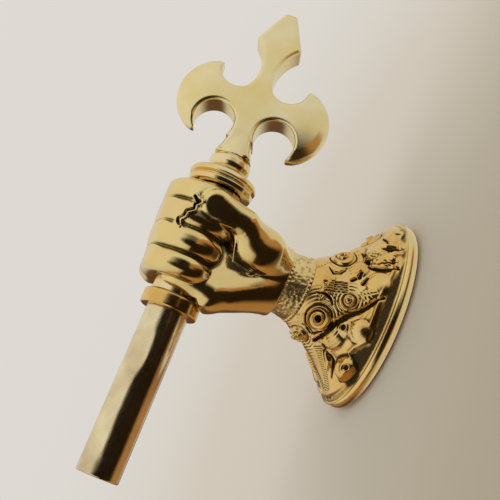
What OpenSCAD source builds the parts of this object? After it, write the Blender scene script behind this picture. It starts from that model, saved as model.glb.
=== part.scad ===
// Winding key for a pocket watch, in the form of a hand that grips a double axe.
// The hand rises from a chased cuff that stands on an oval seal. The shaft of the axe turns in
// the fist, and its other end is the pipe that fits the winding square.
// Millimetres. X runs along the shaft towards the axe, Z up the forearm from the seal face, and
// the palm faces -Y. The origin is the centre of the seal face.

/* [Pipe] */
// Outside diameter of the pipe
pipe_d = 3.2; // [3.1:0.1:3.8]
// Length of the pipe below the lower collar
pipe_len = 12.6; // [10:0.1:16]
// Wall of the case drawn over the steel core
case_wall = 0.3; // [0.2:0.01:0.34]
// Side of the square winding socket
socket_side = 1.6; // [1.2:0.05:1.7]
// Depth of the square winding socket
socket_depth = 6; // [3:0.5:7]

/* [Spindle] */
// Diameter of the spindle where it turns in the fist
spindle_d = 2.4; // [2:0.1:2.8]
// Diameter of the tenon soldered into the pipe core
core_tenon_d = 1.4; // [1:0.1:1.8]
// Length of the tenon in the pipe core
core_tenon_len = 2.5; // [1.5:0.1:2.9]
// Diameter of the tenon inside the neck of the axe
axe_tenon_d = 0.9; // [0.6:0.05:1.1]
// Length of the tenon in the axe
axe_tenon_len = 3; // [1.5:0.1:4]
// Radial clearance of the spindle in its bush
run_clearance = 0.05; // [0.02:0.01:0.09]
// End play between each collar and the bush
end_play = 0.1; // [0.05:0.01:0.2]
// Film of solder between joined faces
solder = 0.01; // [0.005:0.005:0.03]

/* [Collars] */
// How far the lower collar stands out from the pipe
collar_lip = 0.6; // [0.3:0.05:0.9]
// Height of the lower collar
collar_h = 1.15; // [0.8:0.05:1.6]
// Diameter of the flange on the upper collar
flange_d = 5.4; // [4.4:0.1:6]
// Height of the upper collar
flange_h = 1.8; // [1.4:0.05:2.4]
// Diameter of the bead ring under the axe
ferrule_d = 3.3; // [3:0.1:4]
// Height of the bead ring
ferrule_h = 1.05; // [0.8:0.05:1.4]

/* [Axe] */
// Length of the axe from its foot to the spear point
axe_len = 13.2; // [12.6:0.1:15]
// Reach of each blade from the shaft axis
blade_reach = 6.25; // [5.8:0.05:7]
// Thickness of the axe at its middle
axe_t = 2.4; // [1.8:0.1:3]
// Thickness of the axe at the cutting edges
edge_t = 0.8; // [0.6:0.1:1.6]
// Width of the neck under the blades
neck_w = 1.6; // [1.4:0.1:2]
// Diameter of the foot that stands on the bead ring
foot_d = 2.9; // [2.6:0.1:3.2]
// Width across the shoulders of the spear
spear_w = 3.76; // [3:0.02:4.4]
// Height of the spear's pointed head
spear_head = 2.9; // [2.5:0.05:3.2]
// Angle at which the axe rests, turned about the shaft
axe_turn = -17; // [-180:1:180]

/* [Fist] */
// Height of the shaft axis above the seal face
grip_h = 15.6; // [15:0.1:18]
// Spacing of the fingers along the shaft
finger_pitch = 1.87; // [1.75:0.01:2.1]
// Thickness of a finger
finger_t = 1.9; // [1.6:0.05:2.2]
// Diameter of the thumb at its joint
thumb_d = 2.3; // [2:0.1:2.6]
// Room left round the lower collar
collar_room = 0.2; // [0.1:0.02:0.4]
// Diameter of the bush that lines the fist
bush_d = 3.6; // [3.4:0.1:4]
// Height of the bush that shows under the fist
neck_h = 0.76; // [0.3:0.02:1]
// Height of the bush that shows above the fist
cap_h = 0.36; // [0.1:0.02:0.6]
// Wall of the stamped halves round the filling
hand_wall = 0.4; // [0.3:0.05:0.6]
// How far the fist sits towards the pipe from the middle of the seal
fist_offset = 0.6; // [0:0.1:1]

/* [Wrist] */
// Width of the wrist along the shaft
wrist_w = 4.6; // [4.2:0.1:5.4]
// Depth of the wrist from palm to back
wrist_t = 4.2; // [4:0.1:5]
// Height of the matted wrist band
band_h = 1.8; // [1.2:0.1:2.2]
// How far the wrist band stands proud of the wrist
band_proud = 0.12; // [0.05:0.01:0.25]
// How much wider the foot of the wrist band is on each side
band_flare = 0.25; // [0:0.05:0.5]
// How far the raised edges of the band stand out
band_lip = 0.08; // [0.02:0.02:0.2]
// Height of each raised edge
band_lip_h = 0.2; // [0.1:0.05:0.4]
// Diameter of the peg through wrist and cuff
peg_d = 1.8; // [1.4:0.1:2.2]
// How far the peg reaches up into the hand
peg_reach = 2; // [1:0.1:2.3]

/* [Cuff] */
// Height of the chased cuff
cuff_h = 5.4; // [4.8:0.1:5.8]
// Wall of the cuff
cuff_wall = 0.4; // [0.3:0.05:0.6]
// Height of the raised scrolls above the cuff
scroll_h = 0.3; // [0.1:0.02:0.5]
// Depth of the grooves between the scrolls
groove_depth = 0.3; // [0.06:0.02:0.4]

/* [Seal] */
// Length of the oval seal along the shaft
seal_w = 15.6; // [14:0.1:17]
// Width of the oval seal from palm to back
seal_t = 11.4; // [10:0.1:13]
// Height of the plain rim
rim_h = 1.2; // [0.9:0.05:1.6]
// Wall of the rim round the stone
rim_wall = 0.6; // [0.4:0.05:0.9]
// How far the stone stands below the rim
stone_proud = 0.15; // [0.05:0.05:0.3]
// Thickness of the plate that closes the cuff
plate_t = 0.4; // [0.3:0.05:0.8]

/* [Hidden] */
$fn = 64;

// Larger than the whole key, for cutting planes
BIG = 60;
// A cut runs this far past the face that it opens
OVER = 0.5;
GOLD = "#c9a84e";
PALE_GOLD = "#d8bd70";
STEEL = "#8d9094";

// The outer fingers stand this far past their spacing, and neighbours lap by finger_lap
fist_margin = 0.1;
finger_lap = 0.02;
// A finger bites this far into the bush, which is then cut out of it
finger_bite = 0.1;
// Height of the hand that keeps the oval of the wrist, and room round the filling
wrist_rise = 0.2;
fill_gap = 0.03;

// Stations along the shaft, measured from the middle of the seal
fist_mid = -fist_offset;
fist_half = 2 * finger_pitch + fist_margin;
bush_lo = fist_mid - fist_half - neck_h;
bush_hi = fist_mid + fist_half + cap_h;
collar_hi = bush_lo - end_play;
collar_lo = collar_hi - collar_h;
mouth = collar_lo - pipe_len;
flange_lo = bush_hi + end_play;
ferrule_lo = flange_lo + flange_h + solder;
foot = ferrule_lo + ferrule_h + solder;

// Heights above the seal face
rim_lo = stone_proud;
rim_hi = rim_lo + rim_h;
cuff_lo = rim_hi + solder;
cuff_hi = cuff_lo + cuff_h;
band_lo = cuff_hi + solder;
band_hi = band_lo + band_h;
hand_lo = band_hi + solder;
peg_top = hand_lo + peg_reach;

// Step from the rim in to the cuff, and clearance of the plate in the sloping cuff
rim_step = 0.2;
plate_gap = 0.1;

// Half axes of the wrist band at its top and at its foot, where the cuff takes over
band_top = [wrist_w / 2 + band_proud, wrist_t / 2 + band_proud];
band_foot = [band_top[0] + band_flare, band_top[1] + band_flare];

// Radii of the shaft pieces
core_r = pipe_d / 2 - case_wall - solder;
collar_r = pipe_d / 2 + collar_lip;
spindle_r = spindle_d / 2;
bush_r = bush_d / 2;

// Puts a piece turned about the Z axis onto the shaft, with Z running towards the axe
module on_shaft(station) {
    translate([station, 0, grip_h]) rotate([0, 90, 0]) children();
}

// Radius of a polygon of n sides whose flats clear a circle of radius r
function around(r, n) = r / cos(180 / n);

// Points of an ellipse with half axes a and b
function oval(a, b, n = 72) = [for (i = [0 : n - 1]) [a * cos(360 * i / n), b * sin(360 * i / n)]];

// Ring with round outer edges, standing on Z = 0
module moulded_ring(r_in, r_out, h, edge) {
    rotate_extrude() intersection() {
        union() {
            square([r_out - edge, h]);
            translate([0, edge]) square([r_out, h - 2 * edge]);
            for (z = [edge, h - edge]) translate([r_out - edge, z]) circle(r = edge);
        }
        translate([r_in, 0]) square([r_out, h]);
    }
}

// Plain tube standing on Z = 0
module tube(r_in, r_out, h) {
    difference() {
        cylinder(r = r_out, h = h);
        translate([0, 0, -OVER]) cylinder(r = r_in, h = h + 2 * OVER);
    }
}

// Pipe

module pipe_case() {
    color(GOLD) on_shaft(mouth) tube(pipe_d / 2 - case_wall, pipe_d / 2, pipe_len - solder);
}

module pipe_core() {
    color(STEEL) on_shaft(mouth) difference() {
        cylinder(r = core_r, h = pipe_len - solder);
        translate([-socket_side / 2, -socket_side / 2, -OVER])
            cube([socket_side, socket_side, socket_depth + OVER]);
        translate([0, 0, pipe_len - core_tenon_len - solder])
            cylinder(d = core_tenon_d + 2 * solder, h = core_tenon_len + OVER);
    }
}

// Spindle and the rings on it

module spindle() {
    color(GOLD) union() {
        on_shaft(collar_lo - core_tenon_len) cylinder(d = core_tenon_d, h = core_tenon_len + OVER);
        on_shaft(collar_lo) cylinder(r = spindle_r, h = foot - collar_lo - solder);
        on_shaft(foot - OVER) cylinder(d = axe_tenon_d, h = axe_tenon_len + OVER);
    }
}

module lower_collar() {
    color(GOLD) on_shaft(collar_lo) moulded_ring(spindle_r + solder, collar_r, collar_h, collar_h * 0.25);
}

// A thin base ring, a groove, the main bead and a cove up to the bead ring
module upper_collar() {
    base_h = flange_h * 0.27;
    groove_h = flange_h * 0.06;
    bead_h = flange_h * 0.42;
    cove_h = flange_h - base_h - groove_h - bead_h;
    r_in = spindle_r + solder;
    r_out = flange_d / 2;
    color(GOLD) union() {
        on_shaft(flange_lo) moulded_ring(r_in, r_out * 0.96, base_h, base_h * 0.4);
        on_shaft(flange_lo + base_h) tube(r_in, r_out * 0.87, groove_h);
        on_shaft(flange_lo + base_h + groove_h) moulded_ring(r_in, r_out, bead_h, bead_h * 0.45);
        on_shaft(flange_lo + flange_h - cove_h) difference() {
            cylinder(r1 = r_out * 0.8, r2 = ferrule_d / 2 * 0.88, h = cove_h);
            translate([0, 0, -OVER]) cylinder(r = r_in, h = cove_h + 2 * OVER);
        }
    }
}

module axe_ferrule() {
    color(GOLD) on_shaft(ferrule_lo)
        moulded_ring(spindle_r + solder, ferrule_d / 2, ferrule_h, ferrule_h * 0.35);
}

// Axe

// Places of the outline, with the foot at Y = 0 and the spear point at the top
blade_mid = 4.15;
blade_half = 3.2;
blade_r = 3.55;
low_notch = [2.62, 2.1];
low_notch_r = low_notch[0] - neck_w / 2;
high_notch_r = 1.5;
high_notch = [0.6 + high_notch_r, 7.15];
spear_base = 7.6;
spear_shoulder = axe_len - spear_head;
tip_half = 0.48;
// Upright edge of the spear's shoulders, and how far the neck runs into the foot's hollow sides
shoulder_lip = 0.15;
waist_bite = 0.02;
// The round foot stays this far inside the flat one
foot_inset = 0.1;

// Radius of the hollow that runs upright at (x0, y0) and out to (x1, y1)
function hollow_r(x0, y0, x1, y1) = ((x1 - x0) * (x1 - x0) + (y1 - y0) * (y1 - y0)) / (2 * (x1 - x0));

// Flares from the upright waist (x0, y0) to the corner (x1, y1): a block less one hollow a side
module flared_waist(x0, y0, x1, y1, y_from, y_to) {
    r = hollow_r(x0, y0, x1, y1);
    difference() {
        translate([-x1 - OVER, y_from]) square([2 * (x1 + OVER), y_to - y_from]);
        for (side = [-1, 1]) translate([side * (x0 + r), y0]) circle(r = r, $fn = 128);
    }
}

// Two round blades, cut by a round notch above and below on each side
module blades_2d() {
    difference() {
        intersection() {
            union() for (side = [-1, 1])
                translate([side * (blade_reach - blade_r), blade_mid]) circle(r = blade_r, $fn = 128);
            translate([-BIG / 2, blade_mid - blade_half]) square([BIG, 2 * blade_half]);
        }
        for (side = [-1, 1]) {
            translate([side * low_notch[0], low_notch[1]]) circle(r = low_notch_r);
            polygon([[side * neck_w / 2, low_notch[1]], [side * low_notch[0], low_notch[1]],
                     [side * low_notch[0], -OVER], [side * neck_w / 2, -OVER]]);
            translate([side * high_notch[0], high_notch[1]]) circle(r = high_notch_r);
            translate([side * high_notch[0] - high_notch_r, high_notch[1]])
                square([2 * high_notch_r, blade_half]);
        }
    }
}

module spear_2d() {
    lip = spear_shoulder - shoulder_lip;
    flared_waist(0.65, spear_base, spear_w / 2, spear_shoulder, blade_mid, lip + shoulder_lip / 2);
    polygon([[-spear_w / 2, lip], [spear_w / 2, lip], [spear_w / 2, spear_shoulder],
             [tip_half, axe_len], [-tip_half, axe_len], [-spear_w / 2, spear_shoulder]]);
}

module axe_2d() {
    blades_2d();
    spear_2d();
    flared_waist(neck_w / 2 - waist_bite, low_notch[1], foot_d / 2, 0, 0, low_notch[1] + 1);
}

// Half of the axe on the side of -Y: the outline, thinned to the cutting edges by one large
// cylinder, with the round foot and half of the tenon hole
module axe_half() {
    thin = (axe_t - edge_t) / 2;
    swell_r = (blade_reach * blade_reach + thin * thin) / (2 * thin);
    difference() {
        union() {
            intersection() {
                rotate([90, 0, 0]) linear_extrude(axe_t) axe_2d();
                translate([0, swell_r - axe_t / 2, -OVER])
                    cylinder(r = swell_r, h = axe_len + 2 * OVER, $fn = 256);
            }
            cylinder(r1 = foot_d / 2 - foot_inset, r2 = neck_w / 2 - foot_inset,
                     h = low_notch[1] - foot_inset);
        }
        translate([-BIG / 2, 0, -BIG / 2]) cube(BIG);
        translate([0, 0, -OVER]) cylinder(d = axe_tenon_d + 2 * solder, h = axe_tenon_len + OVER);
    }
}

module axe_front() {
    color(PALE_GOLD) on_shaft(foot) rotate(axe_turn) axe_half();
}

module axe_back() {
    color(PALE_GOLD) on_shaft(foot) rotate(axe_turn + 180) axe_half();
}

// Fist

// Distance from the shaft axis to the middle line of a finger
wrap = bush_r + finger_t / 2 - finger_bite;
// Line of one finger from knuckle to tip: palm-to-back and up, in shares of wrap, then how
// square its section is
FINGER_SHARES = [[0.93, 0.9, 0.5], [-0.3, 1.04, 0.5], [-0.95, 0.9, 0.58], [-1.14, -0.1, 0.75],
                 [-0.95, -0.62, 0.8]];
// Reach of each finger from index to little finger
REACH = [1, 0.99, 0.95, 0.88];
// Places in the hand in shares of finger_pitch: along the shaft, palm-to-back and up, then a radius
// Thumb from wrist to tip, its radius in shares of thumb_d
THUMB_SHARES = [[0.27, -0.48, -3.65, 0.61], [0.78, -0.99, -2.51, 0.61], [1.2, -1.47, -1.34, 0.53],
                [1.24, -1.88, -0.1, 0.47], [0.85, -1.95, 0.18, 0.46]];
// Web between thumb and index finger, heel of the hand, ball of the thumb, palm and back
WEB_SHARES = [[1.47, -0.8, 0.64, 0.53], [1.44, -0.7, -1.5, 0.67]];
HEEL_SHARES = [[-1.95, -0.64, -0.86, 0.8], [-0.8, -0.43, -3.36, 0.8]];
BALL_SHARES = [0.5, -0.85, -2.1, 1];
PALM_SHARES = [0.91, 0.37, -1.82, 0.8];
BACK_SHARES = [0.8, 0.8, -0.8, 0.94];
SPHERE_FN = 20;

function finger_at(i) = fist_mid + (1.5 - i) * finger_pitch;

// Ball of radius r at a place along the shaft from the middle of the fist, palm to back and up
module ball(along, back, up, r) {
    translate([fist_mid + along, back, grip_h + up]) sphere(r = r, $fn = SPHERE_FN);
}

// Ball of radius r at a place given in shares of finger_pitch
module mass(p, r) {
    ball(p[0] * finger_pitch, p[1] * finger_pitch, p[2] * finger_pitch, r);
}

// The same ball on both sides of the middle of the fist, smaller all round by less
module mass_pair(p, less) {
    for (side = [-1, 1]) mass([side * p[0], p[1], p[2]], p[3] * finger_pitch - less);
}

// Bars between masses, one after another, with their radii in shares of unit
module limb(points, unit) {
    for (k = [0 : len(points) - 2])
        hull() for (p = [points[k], points[k + 1]]) mass(p, p[3] * unit);
}

// One joint of a finger: two small balls give it a square outer face, a third fills its inside
module finger_joint(along, p, reach) {
    half = finger_pitch / 2 + finger_lap;
    r = half * p[2];
    out = wrap * reach + finger_t / 2 - r;
    for (side = [-1, 1])
        ball(along + side * (half - r), p[0] * out, p[1] * out, r);
    ball(along, p[0] * wrap * 0.72, p[1] * wrap * 0.72, finger_t * 0.36);
}

module finger(i) {
    for (k = [0 : len(FINGER_SHARES) - 2])
        hull() for (j = [k, k + 1]) finger_joint(finger_at(i) - fist_mid, FINGER_SHARES[j], REACH[i]);
}

// Flat oval at the wrist, smaller all round by less, run past the wrist's plane that trims it
module wrist_disc(less) {
    translate([fist_mid, 0, hand_lo - OVER])
        linear_extrude(OVER + wrist_rise) polygon(oval(wrist_w / 2 - less, wrist_t / 2 - less, 40));
}

// Middle of the palm, smaller all round by less: the mass itself and the hollow in it
module palm_core(less) {
    hull() {
        mass_pair(PALM_SHARES, less);
        wrist_disc(less);
    }
}

// Back of the hand from the knuckles to the wrist
module back_of_hand() {
    hull() {
        for (i = [0, 3]) finger_joint(finger_at(i) - fist_mid, FINGER_SHARES[0], REACH[i]);
        mass_pair(BACK_SHARES, 0);
        wrist_disc(0);
    }
}

module whole_hand() {
    difference() {
        union() {
            for (i = [0 : 3]) finger(i);
            limb(THUMB_SHARES, thumb_d);
            limb(WEB_SHARES, finger_pitch);
            limb(HEEL_SHARES, finger_pitch);
            mass(BALL_SHARES, BALL_SHARES[3] * finger_pitch);
            back_of_hand();
            palm_core(0);
        }
        palm_core(hand_wall);
        on_shaft(-BIG / 2) cylinder(r = around(bush_r + solder, $fn), h = BIG);
        on_shaft(mouth) cylinder(r = collar_r + collar_room, h = collar_hi + collar_room - mouth);
        translate([-BIG / 2, -BIG / 2, hand_lo - BIG]) cube(BIG);
    }
}

module hand_palm() {
    color(GOLD) difference() {
        whole_hand();
        translate([-BIG / 2, 0, -BIG / 2]) cube(BIG);
    }
}

module hand_back() {
    color(GOLD) difference() {
        whole_hand();
        translate([-BIG / 2, solder - BIG, -BIG / 2]) cube(BIG);
    }
}

module hand_filling() {
    color("#5a4a3a") difference() {
        palm_core(hand_wall + fill_gap);
        translate([fist_mid, 0, hand_lo - OVER])
            cylinder(r = peg_d / 2 + solder, h = peg_top - hand_lo + OVER);
        translate([-BIG / 2, -BIG / 2, hand_lo - BIG]) cube(BIG);
    }
}

module spindle_bush() {
    color(GOLD) on_shaft(bush_lo) tube(spindle_r + run_clearance, bush_r, bush_hi - bush_lo);
}

// Wrist

module wrist_peg() {
    color(GOLD) translate([fist_mid, 0, rim_hi + plate_t + 2 * solder])
        cylinder(d = peg_d, h = peg_top - rim_hi - plate_t - 2 * solder);
}

// Thin oval at one end of the band, wider all round by more
module band_end(half, z, more) {
    translate([fist_mid, 0, z]) linear_extrude(band_lip_h) polygon(oval(half[0] + more, half[1] + more));
}

// A sleeve that widens towards the cuff, with a raised edge at each end
module wrist_band() {
    upper = band_hi - band_lip_h;
    color(PALE_GOLD) difference() {
        union() {
            hull() {
                band_end(band_top, upper, 0);
                band_end(band_foot, band_lo, 0);
            }
            band_end(band_top, upper, band_lip);
            band_end(band_foot, band_lo, band_lip);
        }
        translate([fist_mid, 0, band_lo - OVER]) cylinder(r = peg_d / 2 + solder, h = band_h + 2 * OVER);
    }
}

// Cuff

CUFF_SIDES = 90;
CUFF_RINGS = 24;
// Raised scrolls, leaves and ball ends on one side as [angle, share of the way down, radius,
// height in shares of scroll_h]; the other side is their mirror image
RAISED = [[-33, 0.36, 1.15, 1], [-127, 0.28, 1.1, 1], [-96, 0.54, 0.8, 0.8], [-134, 0.56, 0.95, 0.9],
          [-115, 0.79, 1.15, 1.1], [-146, 0.88, 0.9, 1.6], [-30, 0.86, 1.2, 1.2], [-48, 0.85, 0.9, 1.1],
          [-66, 0.82, 0.9, 1], [-166, 0.62, 1, 0.6], [-12, 0.62, 1, 0.8]];
// Grooves that part them, each a line of [angle, share of the way down]
GROOVES = [[[-158, 0.4], [-141, 0.44], [-124, 0.48], [-110, 0.56], [-98, 0.72], [-87, 0.89]],
           [[-14, 0.5], [-41, 0.62], [-55, 0.68], [-60, 0.93]],
           [[-106, 0.9], [-117, 0.95], [-128, 0.85], [-139, 0.81]]];
// Half width of a groove, and how many places are taken along each stretch of it
GROOVE_R = 0.55;
GROOVE_STEPS = 5;

// Share of the flare reached a share t of the way down: straight at first, then opening out
function flare(t) = (t + pow(t, 3)) / 2;
function cuff_a(t) = band_foot[0] + (seal_w / 2 - rim_step - band_foot[0]) * flare(t);
function cuff_b(t) = band_foot[1] + (seal_t / 2 - rim_step - band_foot[1]) * flare(t);
function cuff_mid(t) = fist_mid * (1 - flare(t));
function cuff_z(t) = cuff_hi - cuff_h * t;

// Point of the smooth flare, moved out by relief square to the oval
function cuff_point(angle, t, relief = 0) =
    let (a = cuff_a(t), b = cuff_b(t),
         n = [b * cos(angle), a * sin(angle)], k = relief / norm(n))
    [cuff_mid(t) + a * cos(angle) + n[0] * k, b * sin(angle) + n[1] * k, cuff_z(t)];

// Dome of radius r at distance d from its middle, from 1 down to 0
function dome(d, r) = d < r ? 0.5 + 0.5 * cos(180 * d / r) : 0;

raised_at = [for (s = RAISED) cuff_point(s[0], s[1])];
groove_at = [for (line = GROOVES, k = [0 : len(line) - 2], i = [0 : GROOVE_STEPS - 1])
    let (p = line[k] + (line[k + 1] - line[k]) * i / GROOVE_STEPS) cuff_point(p[0], p[1])];

// Height of the chasing: the highest scroll less the deepest groove, faded out at both ends so
// that the cuff meets the band and the rim
function relief(angle, t) =
    let (side = angle > 180 ? angle - 360 : -angle, p = cuff_point(side, t),
         up = max([for (i = [0 : len(RAISED) - 1])
             RAISED[i][3] * dome(norm(p - raised_at[i]), RAISED[i][2])]),
         down = max([for (q = groove_at) dome(norm(p - q), GROOVE_R)]))
    (scroll_h * up - groove_depth * down) * min(1, 8 * t, 10 * (1 - t));

// Rings of the outer face from the top down, then of the plain inner face from the bottom up
module cuff() {
    n = CUFF_SIDES;
    m = CUFF_RINGS;
    inner = [1, 0.9, 0.75, 0.5, 0.25, 0];
    rings = concat(
        [for (j = [0 : m]) [for (i = [0 : n - 1])
            cuff_point(360 * i / n, j / m, relief(360 * i / n, j / m))]],
        [for (t = inner) [for (i = [0 : n - 1]) cuff_point(360 * i / n, t, -cuff_wall - groove_depth)]]);
    color(PALE_GOLD) closed_loft(rings);
}

// Skin through closed rings of equal length, the last ring joined to the first
module closed_loft(rings) {
    n = len(rings[0]);
    m = len(rings);
    points = [for (ring = rings) each ring];
    function at(j, i) = (j % m) * n + i % n;
    faces = [for (j = [0 : m - 1], i = [0 : n - 1])
        each [[at(j, i), at(j + 1, i), at(j, i + 1)], [at(j, i + 1), at(j + 1, i), at(j + 1, i + 1)]]];
    polyhedron(points, faces);
}

// Seal

module oval_plate(a, b, z, h) {
    translate([0, 0, z]) linear_extrude(h) polygon(oval(a, b));
}

// The plate lies inside the cuff's sloping wall, so its upper edge sets its size
module cuff_plate() {
    top = 1 - plate_t / cuff_h;
    less = cuff_wall + groove_depth + plate_gap;
    off_centre = -cuff_mid(top);
    color(GOLD) oval_plate(cuff_a(top) - less - off_centre, cuff_b(top) - less, rim_hi + solder, plate_t);
}

module seal_bezel() {
    color(PALE_GOLD) difference() {
        oval_plate(seal_w / 2, seal_t / 2, rim_lo, rim_h);
        oval_plate(seal_w / 2 - rim_wall, seal_t / 2 - rim_wall, rim_lo - OVER, rim_h + 2 * OVER);
    }
}

module seal_stone() {
    less = rim_wall + 2 * solder;
    color("#5e2a22") oval_plate(seal_w / 2 - less, seal_t / 2 - less, 0, rim_hi);
}

axe_front();
axe_back();
axe_ferrule();
upper_collar();
spindle();
lower_collar();
pipe_case();
pipe_core();
hand_palm();
hand_back();
hand_filling();
spindle_bush();
wrist_peg();
wrist_band();
cuff();
cuff_plate();
seal_bezel();
seal_stone();
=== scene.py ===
"""Looks of a winding key for a pocket watch: a fist that grips a double axe, on a chased cuff and seal."""

import math

import bpy
import numpy as np
from bpy.props import FloatProperty, FloatVectorProperty, PointerProperty
from mathutils import Matrix, Vector


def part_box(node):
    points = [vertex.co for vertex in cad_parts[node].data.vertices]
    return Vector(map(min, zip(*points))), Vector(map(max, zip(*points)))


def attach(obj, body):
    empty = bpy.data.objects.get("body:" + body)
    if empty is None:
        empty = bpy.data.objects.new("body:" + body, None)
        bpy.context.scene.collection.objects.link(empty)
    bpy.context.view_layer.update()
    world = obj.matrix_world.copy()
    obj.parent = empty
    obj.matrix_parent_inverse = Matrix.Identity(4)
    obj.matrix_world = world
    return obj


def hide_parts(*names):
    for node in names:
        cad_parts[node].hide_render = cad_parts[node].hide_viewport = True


bl_info = {
    "name": "Fist and axe watch key",
    "version": (1, 0, 0),
    "blender": (4, 5, 0),
    "location": "View3D > Sidebar > Watch key",
    "description": "Builds the gold surfaces of a figural watch key around its packed solids",
    "category": "Object",
}

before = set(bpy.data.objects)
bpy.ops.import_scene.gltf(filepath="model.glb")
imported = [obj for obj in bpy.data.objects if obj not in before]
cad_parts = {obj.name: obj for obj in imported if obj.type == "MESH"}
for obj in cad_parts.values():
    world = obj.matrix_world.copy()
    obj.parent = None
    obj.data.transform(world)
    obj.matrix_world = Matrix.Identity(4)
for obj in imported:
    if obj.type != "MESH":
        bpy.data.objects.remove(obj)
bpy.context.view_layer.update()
MM = 0.001


def node_box(node):
    """Lowest and highest corner of a node, in millimetres."""
    low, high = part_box(node)
    return np.array(low) / MM, np.array(high) / MM


def half_size(node):
    """Half the extent of a node along each axis, in millimetres."""
    low, high = node_box(node)
    return (high - low) / 2


PIPE_LOW, PIPE_HIGH = node_box("pipe_case")
COLLAR_LOW, COLLAR_HIGH = node_box("lower_collar")
FLANGE_LOW, FLANGE_HIGH = node_box("upper_collar")
FERRULE_LOW, FERRULE_HIGH = node_box("axe_ferrule")
BUSH_LOW, BUSH_HIGH = node_box("spindle_bush")
BAND_LOW, BAND_HIGH = node_box("wrist_band")
BEZEL_LOW, BEZEL_HIGH = node_box("seal_bezel")
HAND_FLOOR = node_box("hand_palm")[0][2]
PIPE_R = half_size("pipe_case")[1]
CORE_R = half_size("pipe_core")[1]
COLLAR_R = half_size("lower_collar")[1]
FLANGE_R = half_size("upper_collar")[1]
FERRULE_R = half_size("axe_ferrule")[1]
BUSH_R = half_size("spindle_bush")[1]
SPINDLE_R = half_size("spindle")[1]
BEZEL_HALF = half_size("seal_bezel")
STONE_HALF = half_size("seal_stone")
STONE_TOP = node_box("seal_stone")[1][2]
# Gap that the solder fills between joined faces
SOLDER = 0.01
AXE_FOOT = FERRULE_HIGH[0] + SOLDER
AXE_LEN = max(node_box(half)[1][0] for half in ("axe_front", "axe_back")) - AXE_FOOT

# The bush shows this much further out of the fist on the side of the pipe than on that of the axe
BUSH_SHIFT = 0.4
# Raised edges of the wrist band, and how much wider its foot is on each side
BAND_LIP = 0.08
BAND_LIP_H = 0.2
BAND_FLARE = 0.25
# The wrist is this much slimmer than the band round it
BAND_PROUD = 0.12

# Height of the shaft axis, and the middle of the fist along it
GRIP = (PIPE_LOW[2] + PIPE_HIGH[2]) / 2
FIST_X = (BUSH_LOW[0] + BUSH_HIGH[0] + BUSH_SHIFT) / 2
BAND_FOOT = (BAND_HIGH[:2] - BAND_LOW[:2]) / 2 - BAND_LIP
BAND_TOP = BAND_FOOT - BAND_FLARE


# Mesh building


def add_piece(name, points, faces, material, body, nodes, deep=None):
    """Makes one smooth mesh from points in millimetres and faces as arrays of vertex numbers.

    deep says how far each point lies in a hollow, from 0 to 1, for the material to darken as dirt and
    painted shade.
    """
    mesh = bpy.data.meshes.new(name)
    mesh.from_pydata((points * MM).tolist(), [], [f for part in faces for f in part.tolist()])
    if deep is not None:
        layer = mesh.attributes.new("recess", "FLOAT", "POINT")
        layer.data.foreach_set("value", np.ascontiguousarray(deep.ravel(), np.float32))
    mesh.shade_smooth()
    mesh.validate()
    mesh.materials.append(material)
    piece = bpy.data.objects.new(name, mesh)
    bpy.context.scene.collection.objects.link(piece)
    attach(piece, body)
    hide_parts(*nodes)


def ring_faces(rows, cols):
    """Quads of a grid whose columns close on themselves and whose last row joins the first."""
    r, c = np.meshgrid(np.arange(rows), np.arange(cols), indexing="ij")
    right = (c + 1) % cols
    down = (r + 1) % rows
    quads = np.stack([r * cols + c, r * cols + right, down * cols + right, down * cols + c], -1)
    return quads.reshape(-1, 4)


def add_hoop(name, surface, material, body, node, deep=None):
    """Makes a piece of a grid of points that closes on itself both ways, in place of one node."""
    faces = ring_faces(*surface.shape[:2])
    add_piece(name, surface.reshape(-1, 3), [faces], material, body, (node,), deep)


def cap_faces(rows, cols):
    """Quads of an open grid of closed rings, with a fan to a first and a last pole vertex."""
    quads = ring_faces(rows, cols)[:-cols] + 1
    c = np.arange(cols)
    right = (c + 1) % cols
    first = np.stack([0 * c, 1 + right, 1 + c], -1)
    last = np.stack([0 * c + 1 + rows * cols, 1 + (rows - 1) * cols + c, 1 + (rows - 1) * cols + right], -1)
    return [quads, first, last]


def rounded_loop(corners, steps=6):
    """Closed outline through (x, y, radius) corners, each rounded by an arc of that radius."""
    corners = np.array(corners, float)
    here = corners[:, :2]
    back = np.roll(here, 1, axis=0) - here
    ahead = np.roll(here, -1, axis=0) - here
    back /= np.linalg.norm(back, axis=1)[:, None]
    ahead /= np.linalg.norm(ahead, axis=1)[:, None]
    half = np.arccos(np.clip((back * ahead).sum(1), -1, 1)) / 2
    reach = corners[:, 2] / np.tan(half)
    bend = np.cross(back, ahead)[:, None]
    middle = back + ahead
    middle /= np.linalg.norm(middle, axis=1)[:, None]
    centre = here + middle * (corners[:, 2] / np.sin(half))[:, None]
    start = here + back * reach[:, None] - centre
    sweep = np.linspace(0, 1, steps)[None, :] * (np.pi - 2 * half)[:, None] * -np.sign(bend)
    turned_x = start[:, :1] * np.cos(sweep) - start[:, 1:] * np.sin(sweep)
    turned_y = start[:, :1] * np.sin(sweep) + start[:, 1:] * np.cos(sweep)
    return np.stack([centre[:, :1] + turned_x, centre[:, 1:] + turned_y], -1).reshape(-1, 2)


def refined(loop, longest):
    """The same closed outline with no stretch longer than the given length."""
    ahead = np.roll(loop, -1, axis=0)
    count = np.maximum(1, np.ceil(np.linalg.norm(ahead - loop, axis=1) / longest)).astype(int)
    start = np.repeat(np.arange(len(loop)), count)
    share = np.concatenate([np.arange(n) / n for n in count])[:, None]
    return loop[start] + (ahead[start] - loop[start]) * share


def full_turn(count):
    """Angles spread evenly over a full turn, the first at 0."""
    return np.arange(count) * 2 * np.pi / count


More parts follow.
